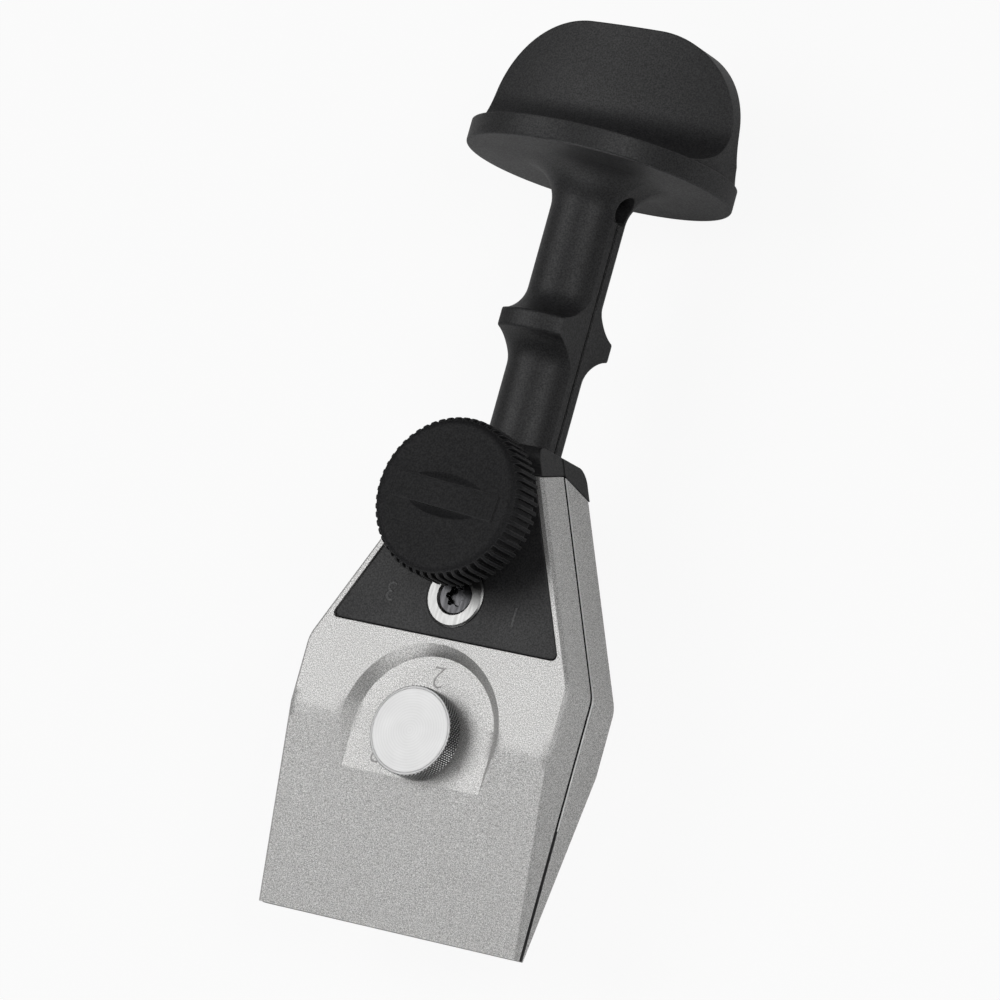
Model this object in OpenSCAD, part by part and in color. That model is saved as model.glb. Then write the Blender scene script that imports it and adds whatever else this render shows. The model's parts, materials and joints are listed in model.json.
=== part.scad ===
// Self-centring knife clamping jig: two cast jaws on a split, springy handle.
// S is measured along the handle from the clamping edge, W outwards from the mid-plane between the jaws.
// The jig lies on its back: S runs along +Y, W along +Z.

/* [Jaws] */
// Width of both jaws across the clamping edge
jaw_w = 45; // [42:0.5:52]
// Width of the jaws at their upper end
jaw_top_w = 16.2; // [15:0.1:18]
// Distance from the clamping edge to the knee where the sides start to taper
knee_s = 39.2; // [37:0.1:40]
// Radius of the rounded knee
knee_r = 5; // [3:0.5:14]
// Distance from the clamping edge to the upper end of the jaws at the seam
jaw_top_s = 70.4; // [69.5:0.1:71.5]
// Thickness of one jaw from the mid-plane to its outer face
jaw_t = 7.55; // [7.2:0.05:8.5]
// Distance from the clamping edge to the crease where the lower face starts to slope
crease_s = 29; // [27:0.5:31]
// Thickness of one jaw at the clamping edge, from the mid-plane
tip_t = 1.16; // [0.9:0.02:2]
// How far the upper end of a jaw falls from the seam to its outer face
roof_drop = 1.9; // [1:0.1:2.2]
// Length of the relieved blade slot behind the clamping edge
slot_len = 19.5; // [12:0.5:21]
// Width of the blade slot when the jaws are closed
slot_gap = 0.9; // [0.6:0.05:1.4]
// Gap between the closed jaws
seam_gap = 0.24; // [0.1:0.02:0.3]
// Width of the bevel along the cast outer edges
edge_bevel = 0.5; // [0.3:0.05:0.7]
// Width of the bevel along the seam
seam_bevel = 0.35; // [0.1:0.05:0.45]

/* [Handle legs] */
// Distance from the clamping edge to the lower edge of the leg plate
plate_s = 42.7; // [42.4:0.1:43.4]
// Width of the cast rim left beside the leg plate
rim_w = 1.4; // [1:0.1:1.8]
// Thickness of the leg plate
plate_t = 3.8; // [3.4:0.1:4.2]
// How far the plate lies below the jaw face
plate_inset = 0.2; // [0:0.05:0.4]
// Gap round the plate in its pocket and under the collar
plate_gap = 0.2; // [0.06:0.02:0.26]
// Corner radius of the plate
plate_corner_r = 0.8; // [0.4:0.1:1.2]
// Height of the collar above the jaws at the seam
collar_h = 2.7; // [2:0.1:4]
// Rounding of the collar's outer upper edge
collar_r = 2; // [0.5:0.1:2.6]

/* [Neck] */
// Diameter of the neck
neck_d = 11.4; // [10.8:0.1:12.2]
// Width across the flat sides of the neck
neck_flat = 10.8; // [9.4:0.1:11.2]
// Width of the slit that splits the neck
slit_w = 0.4; // [0.3:0.05:1]
// Diameter of the finger ridge
ridge_d = 18.6; // [16:0.2:20]
// Distance from the clamping edge to the middle of the ridge
ridge_s = 91; // [88:0.1:94]
// Height of the ridge's rim
ridge_t = 2.5; // [1.6:0.1:3]
// Rounding of the ridge's rim
ridge_edge_r = 0.5; // [0.2:0.05:0.7]
// Radius of the scoop above the ridge
scoop_above_r = 4.6; // [3:0.1:5.5]
// Radius of the scoop below the ridge
scoop_below_r = 4.8; // [3:0.1:5.5]
// Distance from the clamping edge to the point where the legs flex
hinge_s = 111; // [110.5:0.1:111.4]
// Length of the relief hole at the end of the slit
relief_l = 4.2; // [4.1:0.1:4.6]
// Half width of the relief hole
relief_r = 1.9; // [1.2:0.05:2]
// Gap at the flexing line between the legs and the grip
flex_gap = 0.35; // [0.3:0.05:0.5]

/* [Stop disc and grip] */
// Distance from the clamping edge to the running face of the stop disc
disc_s = 115.3; // [115:0.1:117]
// Diameter of the stop disc
disc_d = 40.6; // [38:0.2:46]
// Height of the disc's rim
disc_t = 3.3; // [2.5:0.05:4]
// Rounding of the disc's lower edge
disc_edge_r = 0.4; // [0.3:0.1:1.2]
// Radius of the fillet from the neck to the disc
root_fillet_r = 6; // [4:0.1:6.4]
// Height of the grip above the disc
grip_h = 19.2; // [17:0.05:24]
// Greatest width of the grip
grip_w = 41.2; // [39:0.1:43]
// Angle by which the grip's sides lean outwards from the disc
grip_flare = 10; // [4:0.5:14]
// Corner radius of the grip's outline
grip_corner_r = 14.6; // [11:0.1:16]
// Thickness of the grip in the middle
grip_mid_t = 8; // [6:0.1:10]
// Thickness of the grip at its side edges
grip_edge_t = 2.2; // [1.6:0.1:3]
// Radius of the scoop between the grip and the disc
grip_scoop_r = 7; // [4:0.1:9]

/* [Locking knob] */
// Distance from the upper end of the jaws down to the axis of the locking knob
lock_drop = 8.8; // [8.4:0.1:9.4]
// Diameter of the knob
knob_d = 24.1; // [22:0.1:25]
// Height of the knob's rim
knob_h = 6; // [5:0.1:6.6]
// Gap between the knob and the leg plate with the jaws closed
knob_lift = 4.4; // [3.5:0.05:4.8]
// Rounding of the knob's front edge
knob_edge_r = 1.6; // [0.5:0.1:2]
// Number of grip grooves round the knob
groove_count = 56; // [40:2:64]
// Width of one grip groove
groove_w = 0.8; // [0.4:0.05:0.9]
// Depth of one grip groove
groove_depth = 0.65; // [0.4:0.05:0.8]
// Length of the bare bar on the knob's face
bar_l = 17.6; // [14:0.2:19]
// Width of the bar
bar_w = 3.9; // [3:0.1:5]
// Turn of the bar from the jaw's cross direction, in degrees
bar_turn = -4; // [-20:1:20]
// How far the bar stands above the knob's face
bar_proud = 0.25; // [0.1:0.05:0.4]
// Depth of the hollow beside the bar
hollow_depth = 0.7; // [0.4:0.05:0.9]
// Thread diameter of the locking stud
stud_d = 8; // [7:0.5:8]
// How far the stud reaches into the knob
stud_grip = 3.4; // [2.5:0.1:3.8]
// Diameter of the threaded bush in the front leg
bush_d = 11; // [10.4:0.2:11.6]
// Diameter of the bush's flange
bush_flange_d = 14; // [13:0.2:14.4]
// Thickness of the bush's flange
bush_flange_t = 1.2; // [1:0.1:1.5]
// Depth of the flange below the jaw's inner face
bush_recess = 0.75; // [0.5:0.05:0.9]
// Diameter of the thrust nose at the stud's end
nose_d = 6; // [5:0.2:6.4]
// Length of the thrust nose
nose_l = 2.4; // [2:0.1:2.8]
// Diameter of the nose's stem inside the stud
stem_d = 3; // [2.4:0.2:3.6]
// Length of the nose's stem
stem_l = 2; // [1.5:0.1:2.5]
// Diameter of the thrust plate in the rear jaw
thrust_d = 12; // [10:0.5:13]
// Thickness of the thrust plate
thrust_t = 1.5; // [1:0.1:2]
// Depth of the thrust plate below the rear jaw's inner face
thrust_recess = 0.3; // [0.2:0.05:0.5]

/* [Adjusting screw] */
// Distance from the clamping edge to the axis of the adjusting screw
adjust_s = 28.2; // [27.8:0.1:28.8]
// Diameter of the knurled head
head_d = 13.6; // [12:0.2:14]
// Height of the knurled head
head_h = 3.1; // [2.4:0.1:3.4]
// Bevel of the head's front edge
head_bevel = 0.2; // [0.15:0.05:0.5]
// Core diameter of the screw's thread
shank_d = 5; // [4.6:0.1:5]
// Radius of the arch recess at its floor
arch_r = 11.8; // [11:0.1:12.4]
// Depth of the recess below the jaw's face
arch_depth = 1.65; // [1.3:0.05:1.8]
// Slope of the recess wall, outwards for each unit of depth
arch_draft = 1; // [0.4:0.05:1.2]
// Diameter of the washer under the head
washer_d = 10; // [9:0.2:11]
// Thickness of the washer under the head
washer_t = 0.5; // [0.4:0.05:0.7]
// Outer diameter of the post nut's barrel
post_d = 8; // [7.6:0.1:8.4]
// Thread diameter inside the post nut
post_bore_d = 6; // [5.8:0.1:6.2]
// How far the post nut's barrel passes the mid-plane
post_reach = 3.4; // [3:0.1:3.6]
// Diameter of the post nut's head
post_head_d = 11; // [10:0.2:12]
// Height of the post nut's head
post_head_h = 1.5; // [1.2:0.1:1.6]

/* [Leg screws] */
// Distance from the clamping edge to the leg screws
leg_screw_s = 49; // [48.4:0.1:49.6]
// Outer diameter of the cup washer
cup_d = 9.4; // [8:0.2:10]
// Height of the cup washer
cup_t = 1.8; // [1.5:0.1:2.2]
// How far the cup washer stands proud of the plate
cup_proud = 0.3; // [0.1:0.05:0.5]
// Head diameter of the countersunk screw
screw_head_d = 5.2; // [4.8:0.1:5.6]
// Head height of the countersunk screw
screw_head_h = 1.3; // [1.1:0.1:1.5]
// Thread diameter of the leg screw
screw_d = 3.4; // [3:0.1:3.6]
// Diameter over the lobes of the drive socket
socket_d = 3.2; // [2.4:0.1:3.4]
// Depth of the drive socket
socket_depth = 1; // [0.6:0.1:1.2]

/* [Fits] */
// Gap between pieces that are pressed or clamped together
seat_gap = 0.03; // [0.02:0.01:0.05]
// Radial clearance of turning pieces
run_gap = 0.05; // [0.03:0.01:0.08]
// Radial clearance where a piece passes through with room to tilt
pass_gap = 0.6; // [0.5:0.05:0.8]
// Axial gap between faces that turn on each other
face_gap = 0.05; // [0.04:0.01:0.1]

/* [Hidden] */

// Facets of the drawn circles
$fn = 96;
// Overshoot of cuts past the faces that they open
over = 1;

jaw_taper = (jaw_w - jaw_top_w) / 2 / (jaw_top_s - knee_s);
taper_angle = atan(jaw_taper);
knee_tangent = knee_r * tan(taper_angle / 2);
knee_low = knee_s - knee_tangent;
knee_high = knee_s + knee_tangent * cos(taper_angle);
knee_x = jaw_w / 2 - knee_tangent * sin(taper_angle);
rim_x = rim_w / cos(taper_angle);
plate_face = jaw_t - plate_inset;
pocket_floor = plate_face - plate_t;
collar_s = jaw_top_s + collar_h;
lock_s = jaw_top_s - lock_drop;
split_s = hinge_s - relief_l / 2;
root_s = split_s + flex_gap;
root_r = min(root_fillet_r, disc_s - root_s);
disc_top = disc_s + disc_t;
overall_l = disc_top + grip_h;
arch_floor = jaw_t - arch_depth;
knob_base = plate_face + knob_lift;
cup_base = plate_face + cup_proud - cup_t;
nose_end = -seam_gap / 2 - thrust_recess + face_gap;
stud_end = nose_end + nose_l + face_gap;
stud_top = knob_base + stud_grip;
bush_base = seam_gap / 2 + bush_recess;
head_base = arch_floor + face_gap + washer_t + face_gap;
shank_end = -arch_floor + head_bevel;
grip_sag = (grip_mid_t - grip_edge_t) / 2;
grip_crown_r = (pow(grip_w / 2, 2) + pow(grip_sag, 2)) / (2 * grip_sag);

function jaw_half(s) = jaw_w / 2 - max(0, s - knee_s) * jaw_taper;
// Height of a cove's surface at the given distance from its wall
function cove_height(r, reach) = r - sqrt(r * r - pow(max(0, r - reach), 2));

// Frame: S along +Y, W along +Z, the disc's rim on the ground
module place() {
    translate([0, -overall_l / 2, disc_d / 2]) children();
}

// A cross-section drawn in S and W, drawn out to the given width across the jig
module across(width) {
    rotate([90, 0, 90]) translate([0, 0, -width / 2]) linear_extrude(width) children();
}

// A profile drawn in radius and S, turned about the handle's axis
module about_handle() {
    rotate([-90, 0, 0]) rotate_extrude() children();
}

// A profile drawn in radius and W, turned about an axis square to the mid-plane
module turned_at(s) {
    translate([0, s, 0]) rotate_extrude() children();
}

// A straight hole square to the mid-plane
module hole_at(s, d, from, to) {
    translate([0, s, from]) cylinder(d = d, h = to - from);
}

module both_sides() {
    for (side = [0, 1]) mirror([side, 0, 0]) children();
}

// Concave corner of radius r between two walls that meet at the origin
module cove(r) {
    difference() {
        square(r);
        translate([r, r]) circle(r);
    }
}

// What is cut from a square outer corner at the origin to round it
module corner_waste(r) {
    difference() {
        translate([-r, -r]) square(r + over);
        translate([-r, -r]) circle(r);
    }
}

// Outline of a jaw seen square to its face, with straight chords across the knees
module jaw_plan() {
    both_sides() polygon([[0, 0], [jaw_w / 2, 0], [jaw_w / 2, knee_low], [knee_x, knee_high],
        [jaw_top_w / 2, jaw_top_s], [0, jaw_top_s]]);
}

// What a bevel takes off an edge that runs from the origin along Y, with the piece at -X and -Z
module edge_waste(length, bevel) {
    rotate([0, 45, 0]) translate([-2 * over, -over, -bevel / sqrt(2)])
        cube([4 * over, length + 2 * over, 2 * over]);
}

// Bevels along the straight edges of a jaw's outer face and of its seam on the +X side
module side_edge_waste() {
    slope = atan((jaw_t - tip_t) / crease_s);
    taper_l = (jaw_top_s - knee_high) / cos(taper_angle);
    translate([jaw_w / 2, 0, tip_t]) rotate([slope, 0, 0]) edge_waste(crease_s / cos(slope), edge_bevel);
    translate([jaw_w / 2, crease_s, jaw_t]) edge_waste(knee_low - crease_s, edge_bevel);
    translate([jaw_w / 2, knee_low, jaw_t]) rotate(taper_angle / 2) edge_waste(2 * knee_tangent, edge_bevel);
    translate([knee_x, knee_high, jaw_t]) rotate(taper_angle) edge_waste(taper_l, edge_bevel);
    translate([0, 0, seam_gap / 2]) mirror([0, 0, 1]) {
        translate([jaw_w / 2, slot_len, 0]) edge_waste(knee_low - slot_len, seam_bevel);
        translate([jaw_w / 2, knee_low, 0]) rotate(taper_angle / 2) edge_waste(2 * knee_tangent, seam_bevel);
        translate([knee_x, knee_high, 0]) rotate(taper_angle) edge_waste(taper_l, seam_bevel);
    }
}

// Rounded knee with the same bevels
module knee_round() {
    seam_corner = seam_bevel + seam_gap / 2;
    translate([jaw_w / 2 - knee_r, knee_low, 0]) rotate_extrude()
        polygon([[0, 0], [knee_r - seam_corner, 0], [knee_r, seam_corner], [knee_r, jaw_t - edge_bevel],
            [knee_r - edge_bevel, jaw_t], [0, jaw_t]]);
}

// Outline of the leg plate, grown by a gap for its pocket
module plate_plan(gap, top) {
    low = plate_s - gap;
    low_half = jaw_half(low) - rim_x + gap / cos(taper_angle);
    top_half = jaw_half(top) - rim_x + gap / cos(taper_angle);
    corner_angle = 90 - taper_angle;
    inset = plate_corner_r / tan(corner_angle / 2);
    both_sides() {
        polygon([[0, low], [low_half - inset, low],
            [low_half - inset * sin(taper_angle), low + inset * cos(taper_angle)], [top_half, top], [0, top]]);
        translate([low_half - inset, low + plate_corner_r]) circle(plate_corner_r);
    }
}

// Cast body of a jaw before its pockets and holes
module jaw_block() {
    intersection() {
        union() {
            difference() {
                linear_extrude(jaw_t) jaw_plan();
                both_sides() side_edge_waste();
            }
            both_sides() knee_round();
        }
        across(jaw_w + over) polygon([[0, slot_gap / 2], [slot_len, slot_gap / 2], [slot_len, seam_gap / 2],
            [jaw_top_s, seam_gap / 2], [jaw_top_s - roof_drop, jaw_t], [crease_s, jaw_t], [0, tip_t]]);
    }
}

// Arch-shaped recess round the adjusting screw, running out on the sloping face
module arch_recess() {
    depth = arch_depth + over;
    rim_r = arch_r + depth * arch_draft;
    translate([0, adjust_s, arch_floor]) cylinder(r1 = arch_r, r2 = rim_r, h = depth);
    translate([0, adjust_s, arch_floor]) rotate([90, 0, 0]) linear_extrude(adjust_s)
        polygon([[-arch_r, 0], [arch_r, 0], [rim_r, depth], [-rim_r, depth]]);
}

// Jaw with the features that both sides share
module jaw_casting() {
    difference() {
        jaw_block();
        translate([0, 0, pocket_floor]) linear_extrude(plate_t + over) plate_plan(plate_gap, collar_s);
        arch_recess();
        hole_at(leg_screw_s, screw_d + 2 * seat_gap, seam_gap, pocket_floor + over);
    }
}

// One leg of the handle: plate, collar and half of the split neck
module leg_body() {
    difference() {
        union() {
            translate([0, 0, pocket_floor]) linear_extrude(plate_t) plate_plan(0, jaw_top_s);
            collar();
            intersection() {
                about_handle() neck_profile();
                translate([-neck_flat / 2, collar_s - collar_r, slit_w / 2])
                    cube([neck_flat, split_s - collar_s + collar_r, ridge_d]);
            }
        }
        relief_hole();
        hole_at(leg_screw_s, cup_d + 2 * seat_gap, cup_base, jaw_t + over);
        hole_at(leg_screw_s, screw_d + 2 * seat_gap, pocket_floor - over, plate_face);
    }
}

// Collar that closes the upper end of a jaw
module collar() {
    roof_s = jaw_top_s + plate_gap;
    intersection() {
        linear_extrude(jaw_t + over) both_sides()
            polygon([[0, jaw_top_s - roof_drop], [jaw_half(jaw_top_s - roof_drop), jaw_top_s - roof_drop],
                [jaw_half(collar_s), collar_s], [0, collar_s]]);
        across(jaw_w) difference() {
            polygon([[roof_s, seam_gap / 2], [collar_s, seam_gap / 2], [collar_s, jaw_t],
                [roof_s - roof_drop, jaw_t]]);
            translate([collar_s, jaw_t]) corner_waste(collar_r);
        }
    }
}

// Half profile of the neck with its finger ridge
module neck_profile() {
    low = ridge_s - ridge_t / 2;
    high = ridge_s + ridge_t / 2;
    reach = (ridge_d - neck_d) / 2 - ridge_edge_r;
    square([neck_d / 2, hinge_s]);
    difference() {
        intersection() {
            square([ridge_d / 2, hinge_s]);
            union() {
                translate([0, low]) square([ridge_d / 2, ridge_t]);
                translate([neck_d / 2, high]) cove(scoop_above_r);
                translate([neck_d / 2, low]) mirror([0, 1]) cove(scoop_below_r);
            }
        }
        translate([ridge_d / 2, high + cove_height(scoop_above_r, reach)]) corner_waste(ridge_edge_r);
        translate([ridge_d / 2, low - cove_height(scoop_below_r, reach)]) mirror([0, 1])
            corner_waste(ridge_edge_r);
    }
}

// Oval hole across the neck that ends the slit
module relief_hole() {
    reach = relief_l / 2 - relief_r;
    across(disc_d) {
        for (end = [-reach, reach]) translate([hinge_s + end, 0]) circle(relief_r, $fn = 48);
        translate([hinge_s - reach, -relief_r]) square([2 * reach, 2 * relief_r]);
    }
}

// Foot of the grip: short neck that flares into the disc
module grip_root() {
    root_h = disc_s + over - root_s;
    intersection() {
        about_handle() {
            translate([0, root_s]) square([neck_d / 2, root_h]);
            translate([neck_d / 2, disc_s]) mirror([0, 1]) cove(root_r);
        }
        translate([0, 0, -disc_d / 2]) linear_extrude(disc_d) both_sides() {
            translate([0, root_s]) square([neck_flat / 2, root_h]);
            translate([neck_flat / 2, disc_s]) mirror([0, 1]) cove(root_r);
            translate([0, disc_s]) square([disc_d / 2, over]);
        }
    }
}

// Half profile of the stop disc
module disc_profile() {
    difference() {
        translate([0, disc_s]) square([disc_d / 2, disc_t]);
        translate([disc_d / 2, disc_s]) mirror([0, 1]) corner_waste(disc_edge_r);
    }
}

// Half profile of the space that the grip may fill, from inside the disc's rim outwards
module grip_room() {
    foot_s = disc_s + disc_t / 2;
    foot_r = disc_d / 2 - disc_edge_r;
    polygon([[0, foot_s], [foot_r, foot_s], [foot_r, disc_top],
        [foot_r + 2 * grip_h * tan(grip_flare), overall_l + over], [0, overall_l + over]]);
}

// Outline of the grip seen square to its face: flared sides that run into round corners
module grip_plan() {
    corner_s = overall_l - grip_corner_r;
    corner_x = grip_w / 2 - grip_corner_r;
    side_s = corner_s - grip_corner_r * sin(grip_flare);
    side_x = corner_x + grip_corner_r * cos(grip_flare);
    foot_x = side_x - (side_s - disc_s) * tan(grip_flare);
    both_sides() {
        polygon([[0, disc_s], [foot_x, disc_s], [side_x, side_s], [corner_x, corner_s], [corner_x, overall_l],
            [0, overall_l]]);
        translate([corner_x, corner_s]) circle(grip_corner_r);
    }
}

// Front scoop: leaves the crowned face of the grip and sweeps out on to the disc
module grip_scoop() {
    translate([0, 0, grip_mid_t / 2 - grip_crown_r]) about_handle() translate([grip_crown_r, disc_top])
        difference() {
            square([disc_d, grip_h + over]);
            cove(grip_scoop_r);
        }
}

module grip_head() {
    color([0.17, 0.17, 0.18]) place() difference() {
        union() {
            about_handle() disc_profile();
            intersection() {
                about_handle() grip_room();
                translate([0, 0, -disc_d / 2]) linear_extrude(disc_d) grip_plan();
            }
            grip_root();
        }
        for (side = [0, 1]) mirror([0, 0, side]) grip_scoop();
        relief_hole();
    }
}

module front_leg() {
    color([0.18, 0.18, 0.19]) place() difference() {
        leg_body();
        hole_at(lock_s, bush_d + 2 * seat_gap, pocket_floor - over, jaw_t);
    }
}

module rear_leg() {
    color([0.18, 0.18, 0.19]) place() mirror([0, 0, 1]) leg_body();
}

module front_jaw() {
    post_room = post_d + 2 * pass_gap;
    flange_room = bush_flange_d + 2 * seat_gap;
    color([0.78, 0.77, 0.76]) place() difference() {
        jaw_casting();
        hole_at(adjust_s, post_room, -over, post_reach + pass_gap);
        hole_at(adjust_s, shank_d + 2 * pass_gap, 0, jaw_t);
        hole_at(lock_s, bush_d + 2 * seat_gap, -over, jaw_t);
        hole_at(lock_s, flange_room, -over, bush_base + bush_flange_t);
    }
}

module rear_jaw() {
    color([0.78, 0.77, 0.76]) place() mirror([0, 0, 1]) difference() {
        jaw_casting();
        hole_at(adjust_s, post_d + 2 * seat_gap, -over, jaw_t);
        hole_at(lock_s, thrust_d + 2 * seat_gap, -over, seam_gap / 2 + thrust_recess + thrust_t);
    }
}

// Bright cup washer with a countersink for the screw's head
module cup_washer() {
    turned_at(leg_screw_s) translate([0, cup_base])
        polygon([[screw_d / 2 + seat_gap, 0], [cup_d / 2, 0], [cup_d / 2, cup_t - cup_proud / 2],
            [cup_d / 2 - cup_proud, cup_t], [screw_head_d / 2 + cup_proud, cup_t],
            [screw_head_d / 2 + seat_gap, screw_head_h + cup_proud / 2],
            [screw_d / 2 + seat_gap, cup_proud / 2]]);
}

module front_cup_washer() {
    color([0.85, 0.85, 0.86]) place() cup_washer();
}

module rear_cup_washer() {
    color([0.85, 0.85, 0.86]) place() mirror([0, 0, 1]) cup_washer();
}

// Six-lobed outline of the screws' drive socket
module socket_plan() {
    lobe_r = socket_d / 8;
    circle(socket_d / 2 - lobe_r);
    for (lobe = [0 : 5]) rotate(60 * lobe) translate([socket_d / 2 - lobe_r, 0]) circle(lobe_r, $fn = 24);
}

// Countersunk screw with a six-lobed socket
module leg_screw() {
    base = cup_base + cup_proud / 2;
    head_top = base + screw_head_h;
    difference() {
        turned_at(leg_screw_s) polygon([[0, seam_gap], [screw_d / 2, seam_gap], [screw_d / 2, base],
            [screw_head_d / 2, head_top], [0, head_top]]);
        translate([0, leg_screw_s, head_top - socket_depth]) linear_extrude(socket_depth + over) socket_plan();
    }
}

module front_leg_screw() {
    color([0.55, 0.56, 0.58]) place() leg_screw();
}

module rear_leg_screw() {
    color([0.55, 0.56, 0.58]) place() mirror([0, 0, 1]) leg_screw();
}

module stud_bush() {
    bore = stud_d / 2 + run_gap;
    color([0.78, 0.62, 0.3]) place() turned_at(lock_s) polygon([[bore, bush_base],
        [bush_flange_d / 2, bush_base], [bush_flange_d / 2, bush_base + bush_flange_t],
        [bush_d / 2, bush_base + bush_flange_t], [bush_d / 2, plate_face], [bore, plate_face]]);
}

module locking_stud() {
    color([0.62, 0.63, 0.65]) place() difference() {
        hole_at(lock_s, stud_d, stud_end, stud_top);
        hole_at(lock_s, stem_d + 2 * run_gap, stud_end - over, stud_end + stem_l + face_gap);
    }
}

// Hollow that the bar crosses on the knob's face: a slim barrel that dips into the face
module face_hollow() {
    barrel_r = knob_d / 3;
    side_r = 5 * barrel_r;
    translate([0, 0, knob_h + barrel_r - hollow_depth]) rotate([0, 90, 0]) rotate_extrude() intersection() {
        translate([barrel_r - side_r, 0]) circle(side_r, $fn = 192);
        translate([0, -knob_d / 2]) square([knob_d, knob_d]);
    }
}

module locking_knob() {
    color([0.14, 0.14, 0.15]) place() translate([0, lock_s, knob_base]) difference() {
        union() {
            difference() {
                rotate_extrude() difference() {
                    square([knob_d / 2, knob_h]);
                    translate([knob_d / 2, knob_h]) corner_waste(knob_edge_r);
                }
                for (i = [0 : groove_count - 1]) rotate(i * 360 / groove_count)
                    translate([knob_d / 2 - groove_depth, -groove_w / 2, -over])
                        cube([groove_depth + over, groove_w, knob_h + 2 * over]);
                rotate(bar_turn) face_hollow();
            }
            rotate(bar_turn) translate([-bar_l / 2, -bar_w / 2, knob_h - hollow_depth - over])
                cube([bar_l, bar_w, over + hollow_depth + bar_proud]);
        }
        translate([0, 0, -over]) cylinder(d = stud_d + 2 * seat_gap, h = over + stud_grip + seat_gap);
    }
}

module thrust_nose() {
    color([0.5, 0.5, 0.52]) place() turned_at(lock_s) polygon([[0, nose_end], [nose_d / 2, nose_end],
        [nose_d / 2, nose_end + nose_l], [stem_d / 2, nose_end + nose_l],
        [stem_d / 2, nose_end + nose_l + stem_l], [0, nose_end + nose_l + stem_l]]);
}

module thrust_plate() {
    face = -seam_gap / 2 - thrust_recess;
    color([0.6, 0.6, 0.62]) place() hole_at(lock_s, thrust_d, face - thrust_t, face);
}

module adjusting_screw() {
    head_top = head_base + head_h;
    color([0.9, 0.9, 0.91]) place() turned_at(adjust_s) polygon([[0, shank_end], [shank_d / 2, shank_end],
        [shank_d / 2, head_base], [head_d / 2 - head_bevel, head_base], [head_d / 2, head_base + head_bevel],
        [head_d / 2, head_top - head_bevel], [head_d / 2 - head_bevel, head_top], [0, head_top]]);
}

module adjusting_washer() {
    bottom = arch_floor + face_gap;
    color([0.7, 0.7, 0.72]) place() difference() {
        hole_at(adjust_s, washer_d, bottom, bottom + washer_t);
        hole_at(adjust_s, shank_d + 2 * run_gap, bottom - over, bottom + washer_t + over);
    }
}

module post_nut() {
    head_low = -arch_floor - post_head_h;
    color([0.7, 0.7, 0.72]) place() turned_at(adjust_s) polygon([[0, head_low], [post_head_d / 2, head_low],
        [post_head_d / 2, -arch_floor], [post_d / 2, -arch_floor], [post_d / 2, post_reach],
        [post_bore_d / 2, post_reach], [post_bore_d / 2, -arch_floor - face_gap], [0, -arch_floor - face_gap]]);
}

grip_head();
front_leg();
rear_leg();
front_jaw();
rear_jaw();
front_cup_washer();
rear_cup_washer();
front_leg_screw();
rear_leg_screw();
stud_bush();
locking_stud();
locking_knob();
thrust_nose();
thrust_plate();
adjusting_screw();
adjusting_washer();
post_nut();
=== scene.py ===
import json
import math

import bmesh
import bpy
from mathutils import Matrix, Vector


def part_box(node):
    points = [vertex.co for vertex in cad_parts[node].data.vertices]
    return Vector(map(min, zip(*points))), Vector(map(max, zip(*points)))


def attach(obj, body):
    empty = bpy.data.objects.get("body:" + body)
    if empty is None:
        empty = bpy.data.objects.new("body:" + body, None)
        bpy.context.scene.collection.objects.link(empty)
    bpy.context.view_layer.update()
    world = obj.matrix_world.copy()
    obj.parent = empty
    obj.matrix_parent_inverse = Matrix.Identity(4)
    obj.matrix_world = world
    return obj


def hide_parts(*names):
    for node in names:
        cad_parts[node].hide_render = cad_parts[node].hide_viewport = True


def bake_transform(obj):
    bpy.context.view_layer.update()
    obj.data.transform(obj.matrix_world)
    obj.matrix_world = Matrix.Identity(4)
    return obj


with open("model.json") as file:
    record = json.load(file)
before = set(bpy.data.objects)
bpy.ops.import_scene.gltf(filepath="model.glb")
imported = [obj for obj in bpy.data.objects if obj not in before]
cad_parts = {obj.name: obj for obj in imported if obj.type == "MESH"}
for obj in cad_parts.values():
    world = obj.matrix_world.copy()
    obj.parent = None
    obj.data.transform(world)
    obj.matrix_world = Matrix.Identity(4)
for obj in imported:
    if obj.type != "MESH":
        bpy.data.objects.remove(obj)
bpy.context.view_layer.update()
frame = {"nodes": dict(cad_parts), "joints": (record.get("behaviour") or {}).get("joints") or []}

MM = 0.001
FULL_TURN = 2 * math.pi
NODES = frame["nodes"]
JOINTS = {joint["name"]: joint for joint in frame["joints"]}

# The jig's own measures: S runs from the clamping edge along +Y, W out of the mid-plane along +Z
TIP_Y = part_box("front_jaw")[0].y
MID_Z = JOINTS["front_open"]["pos_m"][2]
ADJUST_AXIS = Vector(JOINTS["adjuster_turn"]["pos_m"])
LOCK_AXIS = Vector(JOINTS["lock_turn"]["pos_m"])
SPLIT_S = (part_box("front_leg")[1].y - TIP_Y) / MM
ROOT_S = (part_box("grip_head")[0].y - TIP_Y) / MM

# Jaws and leg plate, in millimetres
CREASE_S = 29
CREASE_RADIUS = 2.4
SLOT_S = 19.5
SLOT_REACH = 0.6
# Half widths about the mid-plane: painted highlight on the seam's bevels, painted shade in the seam, painted
# shade along the legs' split
SEAM_HIGHLIGHT_HALF = 0.48
SEAM_SHADE_HALF = 0.34
SPLIT_SHADE_HALF = 0.3
ARCH_FLOOR_W = 5.9
PLATE_FACE_W = 7.35

# Neck beside the relief hole, in millimetres
NECK_RADIUS = 5.7
NECK_FLAT = 5.4
SLIT_HALF = 0.2
RELIEF_RADIUS = 1.9
RELIEF_LOW_S = 110.8
WEB_SKIN = 0.006
WEB_OVERLAP = 0.35
WEB_ROWS = 24
WEB_ARC_STEPS = 32

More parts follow.
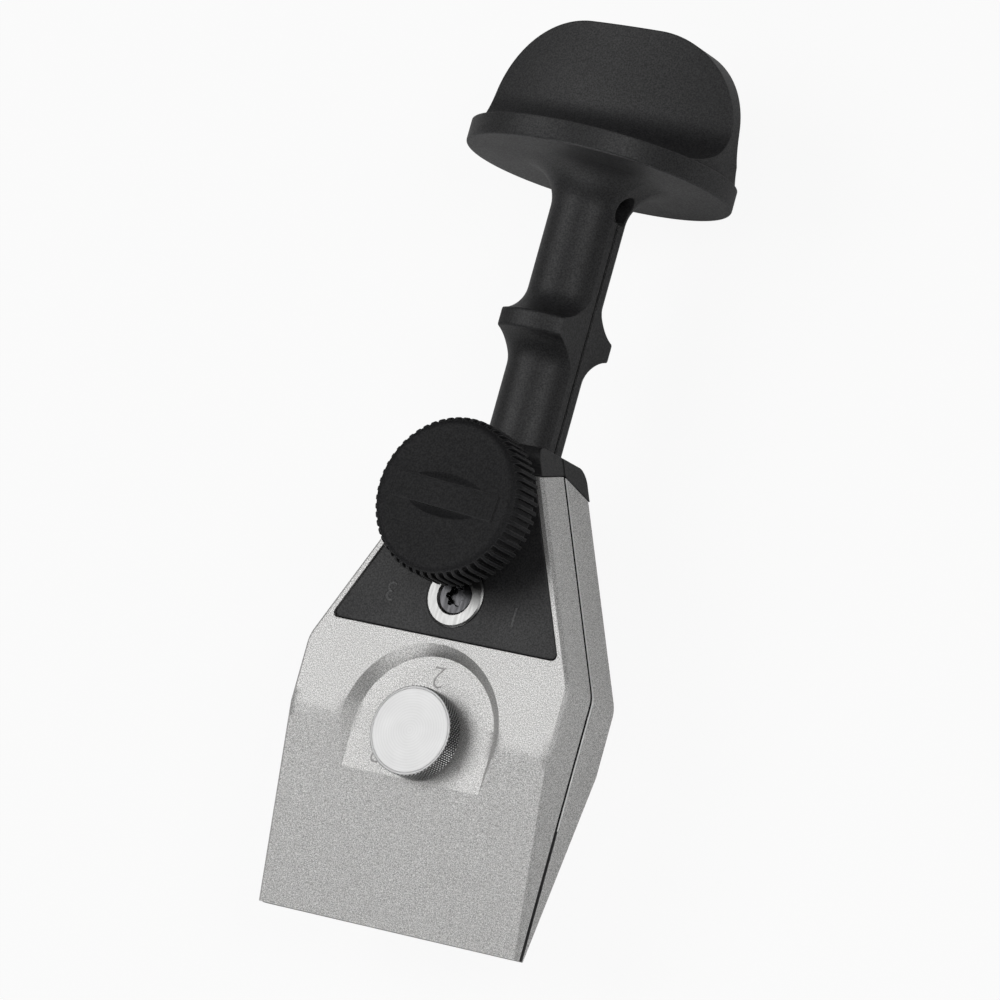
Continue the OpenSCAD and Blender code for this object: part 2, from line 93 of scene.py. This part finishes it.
# Adjusting screw
HEAD_RADIUS = (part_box("adjusting_screw")[1].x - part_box("adjusting_screw")[0].x) / 2
HEAD_HEIGHT = 3.1 * MM
HEAD_BEVEL = 0.2 * MM
RIM_WIDTH = 0.28 * MM
RIM_ROUND = 0.1 * MM
RIM_DROP = 0.04 * MM
LINE_DEPTH = 0.06 * MM
LINE_WIDTH = 0.1 * MM
KNURL_DEPTH = 0.3 * MM
KNURL_DIAMONDS = 64
KNURL_STEPS = 6
SCREW_PITCH = 1.0 * MM
SCREW_CORE = 2.5 * MM
SCREW_CREST = 2.78 * MM
SCREW_CHAMFER = 0.3 * MM
SCREW_RUN_OUT = 0.2 * MM

# Locking stud
STUD_PITCH = 1.25 * MM
STUD_DEPTH = 0.55 * MM
STUD_CHAMFER = 0.2 * MM
STUD_STEPS = 96
STEM_ROOM = 1.55 * MM
STEM_DEPTH = 2.05 * MM

# Rings of threads and knurls for each pitch
ROWS_PER_PITCH = 8

# Numerals: heights, rise and stroke, and their places as X and S in millimetres
DIAL_HEIGHT = 3.4
PLATE_HEIGHT = 3.0
FONT_PER_HEIGHT = 1.4
NUMERAL_RISE = 0.03
THIN_STROKE = -0.02
DIAL_TWO = (0.1, 37.2)
DIAL_THREE = (-6.8, 24.7)
DIAL_ONE = (7.6, 23.8)
PLATE_THREE = (-10.8, 48.1)
PLATE_ONE = (10.5, 47.8)

# Photograph's camera, fitted to the edges of the jaws: focal length in pixels of a 1000 pixel frame
PHOTO_PIXELS = 1000
FOCAL_PIXELS = 6583.8
SENSOR_MM = 36
CAMERA_PLACE = (490.35, -66.35, 819.7)
CAMERA_RIGHT = Vector((0.8450, 0.2654, -0.4644))
CAMERA_UP = Vector((-0.1620, 0.9545, 0.2505))
CLIP_END = 20

# Floor and world
FLOOR_SIZE = 6
FLOOR_SHADE = 0.86
FLOOR_CAMERA_SHARE = 0.92
FLOOR_GLOSSY_SHARE = 0.08
WORLD_STRENGTH = 0.01


def jig(x, s, w):
    """A point given in millimetres across the jaws, along the handle and out of the mid-plane."""
    return Vector((x * MM, TIP_Y + s * MM, MID_Z + w * MM))


def grey(value):
    return (value, value, value)


# Shader building blocks

BEVEL_SAMPLES = 6
EDGE_GAIN = 4.0
SOFT_CORE = 0.7
MASK_FADE = 0.03
FLAT_TILT = 0.95
STEEP_TILT = 0.9


class Shader:
    """A Principled material whose colour, roughness and bump come from nodes."""

    def __init__(self, name, metallic=0.0, specular=0.5):
        self.material = bpy.data.materials.new(name)
        self.material.use_nodes = True
        self.tree = self.material.node_tree
        self.tree.nodes.clear()
        output = self.add("ShaderNodeOutputMaterial")
        self.surface = self.add("ShaderNodeBsdfPrincipled")
        self.surface.inputs["Metallic"].default_value = metallic
        self.surface.inputs["Specular IOR Level"].default_value = specular
        self.link(self.surface.outputs["BSDF"], output.inputs["Surface"])
        self.place = self.add("ShaderNodeTexCoord").outputs["Object"]
        self.normal = None

    def add(self, kind, **settings):
        node = self.tree.nodes.new(kind)
        for key, value in settings.items():
            setattr(node, key, value)
        return node

    def link(self, source, target):
        self.tree.links.new(source, target)

    def math(self, operation, first, second=None):
        """A math node; a number goes on its socket, anything else is linked to it."""
        node = self.add("ShaderNodeMath", operation=operation)
        for socket, value in zip(node.inputs, (first, second)):
            if value is None:
                continue
            if isinstance(value, (int, float)):
                socket.default_value = value
            else:
                self.link(value, socket)
        return node.outputs["Value"]

    def noise(self, size_mm, detail=2.0, stretch=None):
        """Noise whose features are about size_mm across, between 0 and 1."""
        node = self.add("ShaderNodeTexNoise")
        node.inputs["Scale"].default_value = 1 / (size_mm * MM)
        node.inputs["Detail"].default_value = detail
        source = self.place
        if stretch:
            mapping = self.add("ShaderNodeMapping")
            mapping.inputs["Scale"].default_value = stretch
            self.link(self.place, mapping.inputs["Vector"])
            source = mapping.outputs["Vector"]
        self.link(source, node.inputs["Vector"])
        return node.outputs["Fac"]

    def spread(self, value, low, high, from_low=0.3, from_high=0.7):
        """The value's range from from_low to from_high, stretched over low to high."""
        node = self.add("ShaderNodeMapRange")
        node.inputs["From Min"].default_value = from_low
        node.inputs["From Max"].default_value = from_high
        node.inputs["To Min"].default_value = low
        node.inputs["To Max"].default_value = high
        self.link(value, node.inputs["Value"])
        return node.outputs["Result"]

    def ramp(self, value, *stops):
        """Colour that runs between two stops, each a position and a colour."""
        node = self.add("ShaderNodeValToRGB")
        for element, (position, color) in zip(node.color_ramp.elements, stops):
            element.position = position
            element.color = (*color, 1)
        self.link(value, node.inputs["Fac"])
        return node.outputs["Color"]

    def mixer(self, kind, factor):
        """A mix node for colours or vectors: its two inputs and its output."""
        node = self.add("ShaderNodeMix", data_type=kind)
        self.link(factor, node.inputs["Factor"])
        first, second = [s for s in node.inputs if s.type == kind and s.name in ("A", "B")]
        result = [s for s in node.outputs if s.type == kind][0]
        return first, second, result

    def paint(self, factor, base, color):
        """The base with another colour over it where the factor is 1."""
        first, second, result = self.mixer("RGBA", factor)
        self.link(base, first)
        second.default_value = (*color, 1)
        return result

    def round_edges(self, radius_mm):
        node = self.add("ShaderNodeBevel", samples=BEVEL_SAMPLES)
        node.inputs["Radius"].default_value = radius_mm * MM
        self.normal = node.outputs["Normal"]

    def soften_line(self, level, radius_mm):
        """Round the normals much more near a level along Y, on faces that look along Z."""
        sharp = self.normal
        self.round_edges(radius_mm)
        near = self.near("Y", level, SOFT_CORE * radius_mm, radius_mm)
        first, second, result = self.mixer("VECTOR", self.math("MULTIPLY", near, self.flat_faces()))
        self.link(sharp, first)
        self.link(self.normal, second)
        self.normal = result

    def edge_mask(self):
        """Near 1 on sharp edges, where the rounded normal leaves the flat one, and 0 elsewhere."""
        flat = self.add("ShaderNodeNewGeometry").outputs["Normal"]
        dot = self.add("ShaderNodeVectorMath", operation="DOT_PRODUCT")
        self.link(self.normal, dot.inputs[0])
        self.link(flat, dot.inputs[1])
        away = self.math("SUBTRACT", 1.0, dot.outputs["Value"])
        return self.math("MINIMUM", self.math("MULTIPLY", away, EDGE_GAIN), 1.0)

    def part_of(self, source, axis):
        """One coordinate of a vector."""
        node = self.add("ShaderNodeSeparateXYZ")
        self.link(source, node.inputs["Vector"])
        return node.outputs[axis]

    def near(self, axis, level, full_mm, none_mm):
        """1 up to full_mm from a level along an axis, fading to 0 at none_mm."""
        away = self.math("ABSOLUTE", self.math("SUBTRACT", self.part_of(self.place, axis), level))
        return self.spread(away, 1.0, 0.0, full_mm * MM, none_mm * MM)

    def band(self, level, half_mm):
        """1 within half_mm of a level along Z, with a short fade, and 0 elsewhere."""
        return self.near("Z", level, half_mm - MASK_FADE, half_mm + MASK_FADE)

    def tilt(self):
        """1 on faces that look along Z, 0 on faces that stand upright."""
        facing = self.add("ShaderNodeNewGeometry").outputs["True Normal"]
        return self.math("ABSOLUTE", self.part_of(facing, "Z"))

    def flat_faces(self):
        """1 on faces that look nearly along Z, and 0 on all others."""
        return self.math("GREATER_THAN", self.tilt(), FLAT_TILT)

    def seam(self, level, half_mm):
        """1 on faces that slope or stand upright near a level along Z, and 0 elsewhere."""
        steep = self.math("LESS_THAN", self.tilt(), STEEP_TILT)
        return self.math("MULTIPLY", self.band(level, half_mm), steep)

    def slot_face(self, level, half_mm, end):
        """1 on faces that look along Z near a level and come before an end along Y, and 0 elsewhere."""
        flat = self.math("MULTIPLY", self.band(level, half_mm), self.flat_faces())
        return self.math("MULTIPLY", flat, self.math("LESS_THAN", self.part_of(self.place, "Y"), end))

    def radius_from(self, axis):
        """Distance from an axis that is parallel to Z."""
        mapping = self.add("ShaderNodeMapping")
        mapping.inputs["Location"].default_value = (-axis.x, -axis.y, 0)
        mapping.inputs["Scale"].default_value = (1, 1, 0)
        self.link(self.place, mapping.inputs["Vector"])
        length = self.add("ShaderNodeVectorMath", operation="LENGTH")
        self.link(mapping.outputs["Vector"], length.inputs[0])
        return length.outputs["Value"]

    def bump(self, height, depth_mm, strength):
        node = self.add("ShaderNodeBump")
        node.inputs["Strength"].default_value = strength
        node.inputs["Distance"].default_value = depth_mm * MM
        self.link(height, node.inputs["Height"])
        if self.normal is not None:
            self.link(self.normal, node.inputs["Normal"])
        self.normal = node.outputs["Normal"]

    def set(self, name, value):
        self.link(value, self.surface.inputs[name])

    def done(self):
        if self.normal is not None:
            self.link(self.normal, self.surface.inputs["Normal"])
        return self.material


# Materials

CAST_DARK = (0.40, 0.396, 0.39)
CAST_LIGHT = (0.97, 0.965, 0.955)
CAST_CLOUD = (0.60, 0.592, 0.58)
# Painted highlight on the casting's edges and seam bevels, also standing for rubbed wear on the edges
CAST_WEAR_AND_HIGHLIGHT = (0.97, 0.97, 0.965)
# Painted shade in the seam between the jaws
SEAM_PAINTED_SHADE = grey(0.02)
SLOT_COLOR = grey(0.2)
LINE_GRAIN_DARK = (0.30, 0.295, 0.29)
LINE_GRAIN_LIGHT = (0.45, 0.445, 0.44)
BLACK_DARK = (0.006, 0.006, 0.007)
BLACK_LIGHT = (0.032, 0.032, 0.033)
# Painted highlight on the plastic's edges, also standing for rubbed wear
BLACK_WEAR_AND_HIGHLIGHT = (0.12, 0.12, 0.122)
# Painted shade in the split between the legs
SPLIT_PAINTED_SHADE = grey(0.001)
KNOB_DARK = (0.008, 0.008, 0.009)
KNOB_LIGHT = (0.019, 0.019, 0.020)
PLATE_LINE_DARK = (0.06, 0.06, 0.061)
PLATE_LINE_LIGHT = (0.12, 0.12, 0.122)
RING_DARK = (0.33, 0.33, 0.326)
RING_LIGHT = (0.40, 0.40, 0.395)
STEEL_DARK = (0.40, 0.40, 0.41)
STEEL_LIGHT = (0.58, 0.58, 0.59)
SOCKET_DARK = (0.035, 0.035, 0.037)
SOCKET_LIGHT = (0.10, 0.10, 0.105)
BRASS_DARK = (0.60, 0.44, 0.18)
BRASS_LIGHT = (0.76, 0.58, 0.28)


def blasted_casting():
    """Bead-blasted die casting: close-grained, with rubbed wear and painted highlight on edges, painted
    highlight on the seam's bevels, painted shade in the seam and darker blade-slot faces.
    """
    shader = Shader("blasted_casting", metallic=0.85)
    grain = shader.noise(size_mm=0.14, detail=4.0)
    cloud = shader.noise(size_mm=9.0)
    shader.round_edges(radius_mm=0.16)
    edge = shader.edge_mask()
    shader.soften_line(TIP_Y + CREASE_S * MM, CREASE_RADIUS)
    base = shader.ramp(grain, (0.39, CAST_DARK), (0.61, CAST_LIGHT))
    base = shader.paint(shader.spread(cloud, low=0.0, high=0.14), base, CAST_CLOUD)
    # Rubbed wear and painted highlight on the edges
    base = shader.paint(edge, base, CAST_WEAR_AND_HIGHLIGHT)
    # Painted highlight on the bevels beside the seam
    base = shader.paint(shader.seam(MID_Z, SEAM_HIGHLIGHT_HALF), base, CAST_WEAR_AND_HIGHLIGHT)
    # Painted shade in the seam
    base = shader.paint(shader.seam(MID_Z, SEAM_SHADE_HALF), base, SEAM_PAINTED_SHADE)
    base = shader.paint(shader.slot_face(MID_Z, SLOT_REACH, TIP_Y + SLOT_S * MM), base, SLOT_COLOR)
    shader.set("Base Color", base)
    shader.set("Roughness", shader.spread(grain, low=0.58, high=0.46))
    shader.bump(grain, depth_mm=0.04, strength=0.8)
    return shader.done()


def blasted_numeral():
    """The casting's finish, a little darker in the numerals' lines."""
    shader = Shader("numeral_line", metallic=0.7)
    grain = shader.noise(size_mm=0.3, detail=3.0)
    shader.set("Base Color", shader.ramp(grain, (0.3, LINE_GRAIN_DARK), (0.7, LINE_GRAIN_LIGHT)))
    shader.set("Roughness", shader.spread(grain, low=0.6, high=0.5))
    shader.bump(grain, depth_mm=0.02, strength=0.6)
    return shader.done()


def black_composite(name, dark=BLACK_DARK, light=BLACK_LIGHT, depth_mm=0.022, rough=0.52, specular=0.5,
                    edges=True, split_shade=False):
    """Black plastic with a fine moulded grain and, if asked for, rubbed wear and painted highlight on edges
    and painted shade along the split line.
    """
    shader = Shader(name, specular=specular)
    grain = shader.noise(size_mm=0.24, detail=3.0)
    cloud = shader.noise(size_mm=14.0)
    base = shader.ramp(grain, (0.36, dark), (0.64, light))
    if edges:
        shader.round_edges(radius_mm=0.3)
        # Rubbed wear and painted highlight on the edges
        half_wear_and_highlight = shader.math("MULTIPLY", shader.edge_mask(), 0.5)
        base = shader.paint(half_wear_and_highlight, base, BLACK_WEAR_AND_HIGHLIGHT)
    if split_shade:
        # Painted shade along the split between the legs; metallic on a black colour takes away its
        # reflection, so the line stays black
        line = shader.seam(MID_Z, SPLIT_SHADE_HALF)
        base = shader.paint(line, base, SPLIT_PAINTED_SHADE)
        shader.set("Metallic", line)
    shader.set("Base Color", base)
    fine = shader.spread(grain, low=rough + 0.06, high=rough - 0.05)
    broad = shader.spread(cloud, low=-0.03, high=0.03)
    shader.set("Roughness", shader.math("ADD", fine, broad))
    shader.bump(grain, depth_mm, strength=0.7)
    return shader.done()


def turned_metal(name, axis, dark, light, ring_mm, rough, depth_mm):
    """Lathe-turned metal with fine rings round its axis."""
    shader = Shader(name, metallic=1.0)
    radius = shader.radius_from(axis)
    patch = shader.noise(size_mm=2.2, detail=3.0)
    wander = shader.math("MULTIPLY", patch, 0.9 * ring_mm * MM)
    turns = shader.math("MULTIPLY", shader.math("ADD", radius, wander), FULL_TURN / (ring_mm * MM))
    rings = shader.math("SINE", turns)
    shader.round_edges(radius_mm=0.15)
    ring_shade = shader.spread(rings, low=0.35, high=0.65, from_low=-1, from_high=1)
    shade = shader.math("ADD", ring_shade, shader.spread(patch, low=-0.03, high=0.03))
    shader.set("Base Color", shader.ramp(shade, (0.2, dark), (0.8, light)))
    shader.set("Roughness", shader.spread(patch, low=rough + 0.01, high=rough - 0.01))
    shader.bump(rings, depth_mm, strength=0.6)
    return shader.done()


def knurled_metal(name, axis, outer, depth):
    """Knurled metal, with painted highlight on the points and painted shade down in the grooves."""
    shader = Shader(name, metallic=1.0)
    # Painted shade in the grooves and painted highlight on the points
    rise = shader.spread(shader.radius_from(axis), 0.0, 1.0, from_low=outer - depth, from_high=outer)
    shader.set("Base Color", shader.ramp(rise, (0.25, grey(0.05)), (0.8, grey(0.75))))
    shader.set("Roughness", shader.spread(shader.noise(size_mm=0.5), low=0.36, high=0.28))
    return shader.done()


def plain_metal(name, dark, light, rough):
    """Machined metal with faint drawn scratches."""
    shader = Shader(name, metallic=1.0)
    streak = shader.noise(size_mm=0.5, detail=4.0, stretch=(1, 0.15, 1))
    shader.round_edges(radius_mm=0.12)
    shader.set("Base Color", shader.ramp(streak, (0.3, dark), (0.7, light)))
    shader.set("Roughness", shader.spread(streak, low=rough + 0.06, high=rough - 0.04))
    shader.bump(streak, depth_mm=0.004, strength=0.4)
    return shader.done()


def dress(material, *names):
    for name in names:
        mesh = NODES[name].data
        mesh.materials.clear()
        mesh.materials.append(material)


casting = blasted_casting()
numeral_line = blasted_numeral()
composite = black_composite("handle_composite")
leg_composite = black_composite("leg_composite", split_shade=True)
web_composite = black_composite("web_composite", edges=False)
numeral_composite = black_composite("numeral_composite", PLATE_LINE_DARK, PLATE_LINE_LIGHT, rough=0.5)
knob_plastic = black_composite("knob_plastic", KNOB_DARK, KNOB_LIGHT, depth_mm=0.018, rough=0.55,
                               specular=0.19)
turned_head = turned_metal("turned_head", ADJUST_AXIS, grey(0.47), grey(0.54), ring_mm=0.42, rough=0.42,
                           depth_mm=0.002)
knurl_metal = knurled_metal("knurl_metal", ADJUST_AXIS, HEAD_RADIUS, KNURL_DEPTH)
bright_ring = plain_metal("bright_ring", RING_DARK, RING_LIGHT, rough=0.32)
steel = plain_metal("steel", STEEL_DARK, STEEL_LIGHT, rough=0.30)
socket_steel = plain_metal("socket_steel", SOCKET_DARK, SOCKET_LIGHT, rough=0.22)
brass = turned_metal("brass", LOCK_AXIS, BRASS_DARK, BRASS_LIGHT, ring_mm=0.4, rough=0.28, depth_mm=0.006)

dress(casting, "front_jaw", "rear_jaw")
dress(composite, "grip_head")
dress(leg_composite, "front_leg", "rear_leg")
dress(knob_plastic, "locking_knob")
dress(bright_ring, "front_cup_washer", "rear_cup_washer")
dress(socket_steel, "front_leg_screw", "rear_leg_screw")
dress(steel, "thrust_nose", "thrust_plate", "adjusting_washer", "post_nut")
dress(brass, "stud_bush")


# Pieces made here


def add_piece(name, mesh, material, body):
    mesh.materials.clear()
    mesh.materials.append(material)
    piece = bpy.data.objects.new(name, mesh)
    bpy.context.scene.collection.objects.link(piece)
    if body:
        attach(piece, body)
    return piece


def new_mesh(name, vertices, faces):
    """A mesh from points and faces, with its normals turned outwards."""
    mesh = bpy.data.meshes.new(name)
    mesh.from_pydata([tuple(v) for v in vertices], [], faces)
    shaper = bmesh.new()
    shaper.from_mesh(mesh)
    bmesh.ops.recalc_face_normals(shaper, faces=shaper.faces)
    shaper.to_mesh(mesh)
    shaper.free()
    return mesh


def turned_mesh(name, axis, rings, steps):
    """Closed surface about an axis parallel to Z. A ring is (z, radius), where radius may be a function of
    the angle. The first and last rings are points on the axis."""
    vertices = [(axis.x, axis.y, rings[0][0])]
    for z, radius in rings[1:-1]:
        for step in range(steps):
            angle = FULL_TURN * step / steps
            reach = radius(angle) if callable(radius) else radius
            vertices.append((axis.x + reach * math.cos(angle), axis.y + reach * math.sin(angle), z))
    vertices.append((axis.x, axis.y, rings[-1][0]))
    count = len(rings) - 2
    last = len(vertices) - 1
    top = 1 + (count - 1) * steps
    faces = []
    for step in range(steps):
        following = (step + 1) % steps
        faces.append((0, 1 + following, 1 + step))
        for row in range(count - 1):
            low = 1 + row * steps
            high = low + steps
            faces.append((low + step, low + following, high + following, high + step))
        faces.append((top + step, top + following, last))
    return new_mesh(name, vertices, faces)


def triangle_wave(value):
    """1 at whole numbers, 0 halfway between them."""
    return abs(2 * (value % 1.0) - 1)


def levels(low, high, pitch):
    """Heights from low to high, ROWS_PER_PITCH of them for each pitch."""
    rows = round((high - low) / pitch * ROWS_PER_PITCH)
    return [low + (high - low) * row / rows for row in range(rows + 1)]


def thread_rings(low, high, root, crest, pitch):
    """Rings of a right-hand thread whose ends fade into the core."""
    rings = []
    for z in levels(low, high, pitch):
        fade = min(1.0, (z - low) / pitch, (high - z) / pitch)

        def radius(angle, z=z, fade=fade):
            return root + (crest - root) * fade * triangle_wave(z / pitch - angle / FULL_TURN)

        rings.append((z, radius))
    return rings


def knurl_rings(low, high, outer, depth, diamonds):
    """Rings of a diamond knurl: two crossing sets of helical grooves."""
    pitch = FULL_TURN * outer / diamonds
    rings = []
    for z in levels(low, high, pitch):

        def radius(angle, z=z):
            around = angle * diamonds / FULL_TURN
            along = (z - low) / pitch
            groove = max(triangle_wave(around + along), triangle_wave(around - along))
            return outer - depth * groove

        rings.append((z, radius))
    return rings


def knurled_screw():
    """Adjusting screw with its thread and knurled head, whose face has a fine line inside its rim."""
    low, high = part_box("adjusting_screw")
    base = high.z - HEAD_HEIGHT
    edge = HEAD_RADIUS - HEAD_BEVEL
    line = edge - RIM_WIDTH
    rings = [(low.z, 0), (low.z, SCREW_CORE - SCREW_CHAMFER)]
    rings += thread_rings(low.z + SCREW_CHAMFER, base - SCREW_RUN_OUT, SCREW_CORE, SCREW_CREST, SCREW_PITCH)
    rings += [(base, SCREW_CORE), (base, edge)]
    rings += knurl_rings(base + HEAD_BEVEL, high.z - HEAD_BEVEL, HEAD_RADIUS, KNURL_DEPTH, KNURL_DIAMONDS)
    rings += [(high.z - RIM_DROP, edge), (high.z, edge - RIM_ROUND), (high.z, line)]
    rings += [(high.z - LINE_DEPTH, line - LINE_WIDTH / 2), (high.z, line - LINE_WIDTH), (high.z, 0)]
    mesh = turned_mesh("knurled_screw", ADJUST_AXIS, rings, KNURL_DIAMONDS * KNURL_STEPS)
    piece = add_piece("knurled_screw", mesh, turned_head, "adjuster")
    mesh.materials.append(knurl_metal)
    for polygon in mesh.polygons:
        reach = (polygon.center - ADJUST_AXIS).xy.length
        if reach > edge - KNURL_DEPTH and polygon.center.z < high.z - HEAD_BEVEL:
            polygon.material_index = 1
    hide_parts("adjusting_screw")


def threaded_stud():
    """Locking stud with its thread and the bore for the nose's stem."""
    low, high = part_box("locking_stud")
    crest = (high.x - low.x) / 2
    root = crest - STUD_DEPTH
    floor = low.z + STEM_DEPTH
    rings = [(floor, 0), (floor, STEM_ROOM), (low.z, STEM_ROOM), (low.z, root)]
    rings += thread_rings(low.z + STUD_CHAMFER, high.z - STUD_CHAMFER, root, crest, STUD_PITCH)
    rings += [(high.z, root), (high.z, 0)]
    mesh = turned_mesh("threaded_stud", LOCK_AXIS, rings, STUD_STEPS)
    piece = add_piece("threaded_stud", mesh, steel, "lock")
    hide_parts("locking_stud")


def numeral(name, text, place, height, stroke, material):
    """A small moulded numeral, upright for someone who holds the handle towards them."""
    curve = bpy.data.curves.new(name, "FONT")
    curve.body = text
    curve.align_x = "CENTER"
    curve.align_y = "CENTER"
    curve.size = height * FONT_PER_HEIGHT * MM
    curve.offset = stroke * height * FONT_PER_HEIGHT * MM
    curve.extrude = NUMERAL_RISE * MM
    holder = bpy.data.objects.new(name + "_curve", curve)
    bpy.context.scene.collection.objects.link(holder)
    holder.matrix_world = Matrix.Translation(place) @ Matrix.Rotation(math.pi, 4, "Z")
    bpy.context.view_layer.update()
    graph = bpy.context.evaluated_depsgraph_get()
    mesh = bpy.data.meshes.new_from_object(holder.evaluated_get(graph))
    mesh.transform(holder.matrix_world)
    bpy.data.objects.remove(holder)
    mesh.name = name
    add_piece(name, mesh, material, "front_side")


def dial_numeral(text, place, material):
    """A numeral on the floor of the arch recess, round the adjusting screw."""
    numeral("dial_" + text, text, jig(*place, ARCH_FLOOR_W), DIAL_HEIGHT, THIN_STROKE, material)


def plate_numeral(text, place):
    """A numeral on the leg plate."""
    spot = jig(*place, PLATE_FACE_W)
    numeral("plate_" + text, text, spot, PLATE_HEIGHT, 0, numeral_composite)


def web_outline(s):
    """Half of the neck's section at S, from the wall of the slit or relief hole to the outside."""
    reach = NECK_RADIUS + WEB_SKIN
    flat = NECK_FLAT + WEB_SKIN
    limit = math.acos(flat / reach)
    drop = min(RELIEF_RADIUS, max(0.0, RELIEF_LOW_S - s))
    inner = max(SLIT_HALF, math.sqrt(RELIEF_RADIUS ** 2 - drop ** 2)) + WEB_SKIN
    angles = [limit + (math.pi - 2 * limit) * step / WEB_ARC_STEPS for step in range(WEB_ARC_STEPS + 1)]
    return [(reach * math.cos(a), reach * math.sin(a)) for a in angles] + [(-flat, inner), (flat, inner)]


def flexing_web(name, side):
    """The thin bridge beside the relief hole, where one leg bends out of the grip."""
    low_s = SPLIT_S - WEB_OVERLAP
    high_s = ROOT_S + WEB_OVERLAP
    rows = [low_s + (high_s - low_s) * row / WEB_ROWS for row in range(WEB_ROWS + 1)]
    vertices = [jig(x, s, side * w) for s in rows for x, w in web_outline(s)]
    count = len(vertices) // len(rows)
    faces = []
    for row in range(WEB_ROWS):
        low = row * count
        high = low + count
        for step in range(count):
            following = (step + 1) % count
            faces.append((low + step, low + following, high + following, high + step))
    faces.append(tuple(range(count)))
    faces.append(tuple(range(WEB_ROWS * count, len(vertices))))
    web = add_piece(name, new_mesh(name, vertices, faces), web_composite, None)
    for polygon in web.data.polygons[:-2]:
        polygon.use_smooth = True
    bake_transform(web)


knurled_screw()
threaded_stud()
dial_numeral("2", DIAL_TWO, numeral_line)
dial_numeral("3", DIAL_THREE, numeral_line)
dial_numeral("1", DIAL_ONE, casting)
plate_numeral("3", PLATE_THREE)
plate_numeral("1", PLATE_ONE)
flexing_web("front_web", 1)
flexing_web("rear_web", -1)


# Floor, light and camera


def floor_material():
    """Pale material that shows white to the camera, keeps a soft shadow and glows a little in reflections."""
    material = bpy.data.materials.new("floor")
    material.use_nodes = True
    nodes = material.node_tree.nodes
    link = material.node_tree.links.new
    nodes.clear()
    output = nodes.new("ShaderNodeOutputMaterial")
    diffuse = nodes.new("ShaderNodeBsdfDiffuse")
    diffuse.inputs["Color"].default_value = (*grey(FLOOR_SHADE), 1)
    glow = nodes.new("ShaderNodeEmission")
    glow.inputs["Strength"].default_value = 1.0
    rays = nodes.new("ShaderNodeLightPath")
    seen = nodes.new("ShaderNodeMath")
    seen.operation = "MULTIPLY"
    seen.inputs[1].default_value = FLOOR_CAMERA_SHARE
    link(rays.outputs["Is Camera Ray"], seen.inputs[0])
    share = nodes.new("ShaderNodeMath")
    share.operation = "MULTIPLY_ADD"
    share.inputs[1].default_value = FLOOR_GLOSSY_SHARE
    link(rays.outputs["Is Glossy Ray"], share.inputs[0])
    link(seen.outputs["Value"], share.inputs[2])
    mix = nodes.new("ShaderNodeMixShader")
    link(share.outputs["Value"], mix.inputs["Fac"])
    link(diffuse.outputs["BSDF"], mix.inputs[1])
    link(glow.outputs["Emission"], mix.inputs[2])
    link(mix.outputs["Shader"], output.inputs["Surface"])
    return material


def white_floor():
    bpy.ops.mesh.primitive_plane_add(size=FLOOR_SIZE, location=(0, 0, 0))
    floor = bpy.context.object
    floor.name = "floor"
    floor.data.materials.append(floor_material())


def soft_box(name, place, size, power):
    """A square area light, aimed at the jig."""
    light = bpy.data.lights.new(name, "AREA")
    light.shape = "SQUARE"
    light.size = size
    light.energy = power
    lamp = bpy.data.objects.new(name, light)
    bpy.context.scene.collection.objects.link(lamp)
    lamp.location = place
    aim = Vector((0, 0, MID_Z)) - Vector(place)
    lamp.rotation_euler = aim.to_track_quat("-Z", "Y").to_euler()


def studio():
    world = bpy.data.worlds.new("studio")
    bpy.context.scene.world = world
    world.use_nodes = True
    sky = world.node_tree.nodes["Background"]
    sky.inputs["Color"].default_value = (*grey(1), 1)
    sky.inputs["Strength"].default_value = WORLD_STRENGTH
    soft_box("key", place=(-0.73, 0.1, 1.2), size=0.9, power=6.7)
    soft_box("low_fill", place=(-0.15, -1.27, 0.3), size=0.9, power=8)
    soft_box("right_fill", place=(0.86, 0.16, 0.93), size=0.4, power=3.5)
    soft_box("edge_light", place=(0.4, 0.1, 1.3), size=0.4, power=1.2)
    bpy.context.scene.view_settings.view_transform = "Standard"


def photo_camera():
    """The photograph's camera: its place in the jig's millimetres, and its axes made square to each other."""
    data = bpy.data.cameras.new("photo_camera")
    data.sensor_width = SENSOR_MM
    data.lens = SENSOR_MM * FOCAL_PIXELS / PHOTO_PIXELS
    data.clip_end = CLIP_END
    camera = bpy.data.objects.new("photo_camera", data)
    bpy.context.scene.collection.objects.link(camera)
    right = CAMERA_RIGHT.normalized()
    up = (CAMERA_UP - right * CAMERA_UP.dot(right)).normalized()
    back = right.cross(up)
    turn = Matrix((right, up, back)).transposed().to_4x4()
    camera.matrix_world = Matrix.Translation(jig(*CAMERA_PLACE)) @ turn
    bpy.context.scene.camera = camera


white_floor()
studio()
photo_camera()
